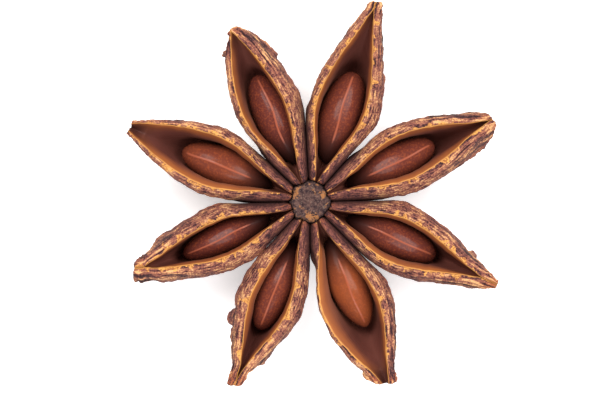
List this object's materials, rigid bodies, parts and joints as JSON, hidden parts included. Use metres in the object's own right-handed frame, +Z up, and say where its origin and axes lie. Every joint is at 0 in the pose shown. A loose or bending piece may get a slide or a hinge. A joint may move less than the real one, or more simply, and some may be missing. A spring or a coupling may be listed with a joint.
{
  "type": "star anise pod",
  "caption": "Dried star-shaped spice pod lying open side up: boat-shaped woody follicles split along the top round a short column, each holding a glossy brown seed on edge.",
  "frame": {"origin": "middle of the pod's outline, on the surface that it lies on", "axes": "+Z up out of the open side, along the pod's short axis; +X and +Y across the star"},
  "size_m": [0.0324, 0.0335, 0.0077],
  "materials": {
    "husk": "dry wrinkled purple-brown skin with ochre worn edges, satin tan to dark brown inside",
    "seed_coat": "glossy smooth red-brown",
    "column_wood": "rough matt grey-brown"
  },
  "bodies": {
    "root": {"follicle_1": "husk", "follicle_2": "husk", "follicle_3": "husk", "follicle_4": "husk", "follicle_5": "husk", "follicle_6": "husk", "follicle_7": "husk", "follicle_8": "husk", "seed_1": "seed_coat", "seed_2": "seed_coat", "seed_3": "seed_coat", "seed_4": "seed_coat", "seed_5": "seed_coat", "seed_6": "seed_coat", "seed_7": "seed_coat", "seed_8": "seed_coat", "column": "column_wood"}
  },
  "joints": []
}
